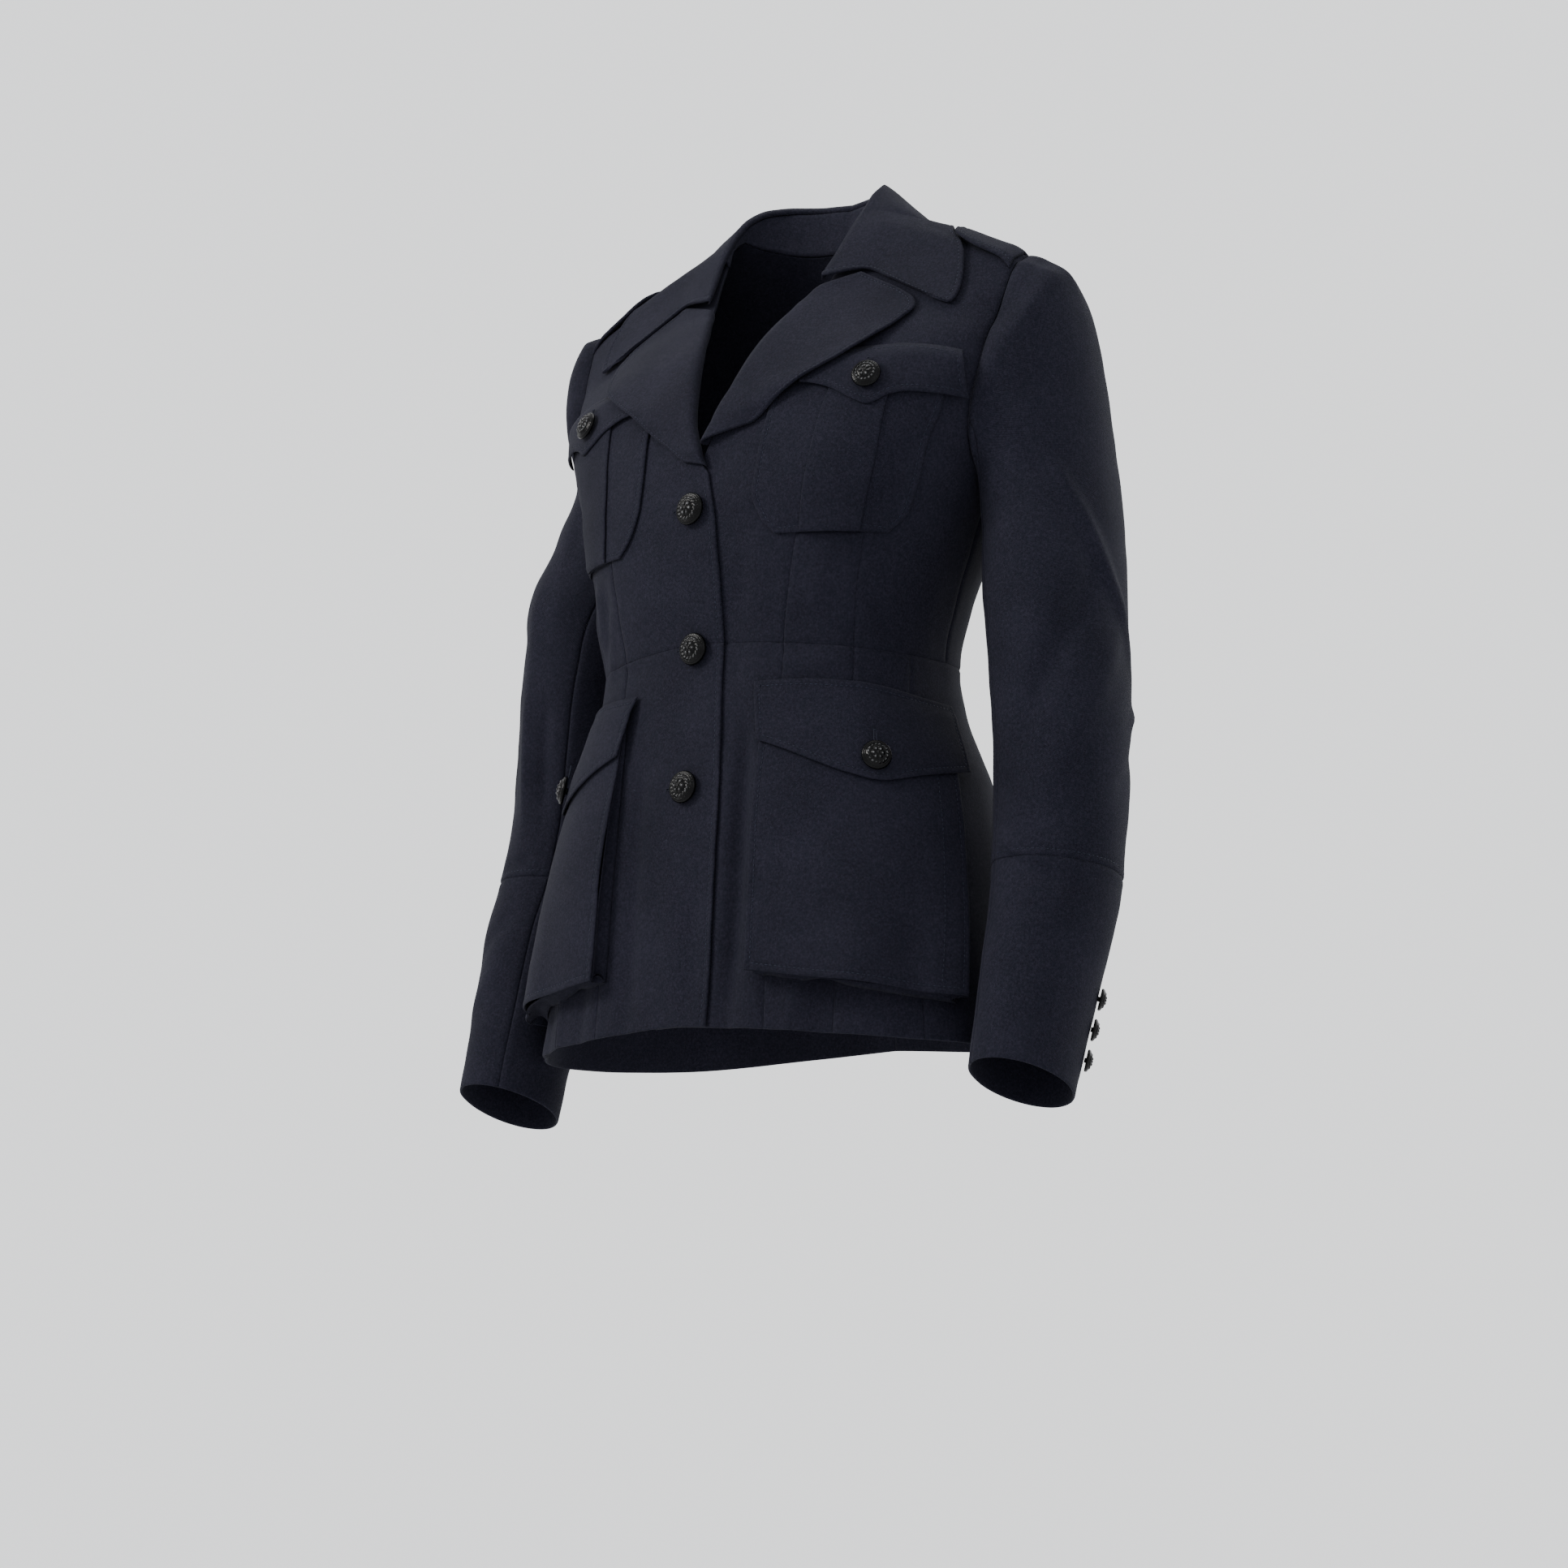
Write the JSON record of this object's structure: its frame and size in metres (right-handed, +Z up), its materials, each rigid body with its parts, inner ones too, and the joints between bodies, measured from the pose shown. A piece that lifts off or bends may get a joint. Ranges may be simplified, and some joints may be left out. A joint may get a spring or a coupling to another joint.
{
  "type": "military-style jacket",
  "caption": "Fitted single-breasted wool jacket with notched lapels, shoulder straps, flapped chest pockets, a waist seam and bellows hip pockets, held in its worn shape.",
  "frame": {"origin": "middle of the neck's base, in the neck opening at the height where the gorge of the collar meets the shoulders", "axes": "+X to the wearer's left, +Y to the wearer's back, +Z up the wearer's body"},
  "size_m": [0.544, 0.2657, 0.6888],
  "materials": {
    "wool_cloth": "matt milled wool, very dark navy",
    "button_black": "glossy black with relief"
  },
  "bodies": {
    "root": {"back_centre_upper_left": "wool_cloth", "back_centre_upper_right": "wool_cloth", "back_side_upper_left": "wool_cloth", "back_side_upper_right": "wool_cloth", "back_skirt_left": "wool_cloth", "back_skirt_right": "wool_cloth", "button_chest_left": "button_black", "button_chest_right": "button_black", "button_cuff_left_1": "button_black", "button_cuff_left_2": "button_black", "button_cuff_left_3": "button_black", "button_cuff_right_1": "button_black", "button_cuff_right_2": "button_black", "button_cuff_right_3": "button_black", "button_front_1": "button_black", "button_front_2": "button_black", "button_front_3": "button_black", "button_low_left": "button_black", "button_low_right": "button_black", "chest_flap_left": "wool_cloth", "chest_flap_right": "wool_cloth", "chest_pleat_left": "wool_cloth", "chest_pleat_right": "wool_cloth", "chest_pocket_left": "wool_cloth", "chest_pocket_right": "wool_cloth", "collar_leaf": "wool_cloth", "collar_stand": "wool_cloth", "front_skirt_left": "wool_cloth", "front_skirt_right": "wool_cloth", "front_strap_lower_left": "wool_cloth", "front_strap_lower_right": "wool_cloth", "front_strap_upper_left": "wool_cloth", "front_strap_upper_right": "wool_cloth", "front_upper_left": "wool_cloth", "front_upper_right": "wool_cloth", "lapel_left": "wool_cloth", "lapel_right": "wool_cloth", "low_flap_left": "wool_cloth", "low_flap_right": "wool_cloth", "low_gusset_left": "wool_cloth", "low_gusset_right": "wool_cloth", "low_pocket_left": "wool_cloth", "low_pocket_right": "wool_cloth", "shoulder_strap_left": "wool_cloth", "shoulder_strap_right": "wool_cloth", "side_front_skirt_left": "wool_cloth", "side_front_skirt_right": "wool_cloth", "side_skirt_left": "wool_cloth", "side_skirt_right": "wool_cloth", "sleeve_top_lower_left": "wool_cloth", "sleeve_top_lower_right": "wool_cloth", "sleeve_top_upper_left": "wool_cloth", "sleeve_top_upper_right": "wool_cloth", "sleeve_under_lower_left": "wool_cloth", "sleeve_under_lower_right": "wool_cloth", "sleeve_under_upper_left": "wool_cloth", "sleeve_under_upper_right": "wool_cloth"}
  },
  "joints": []
}
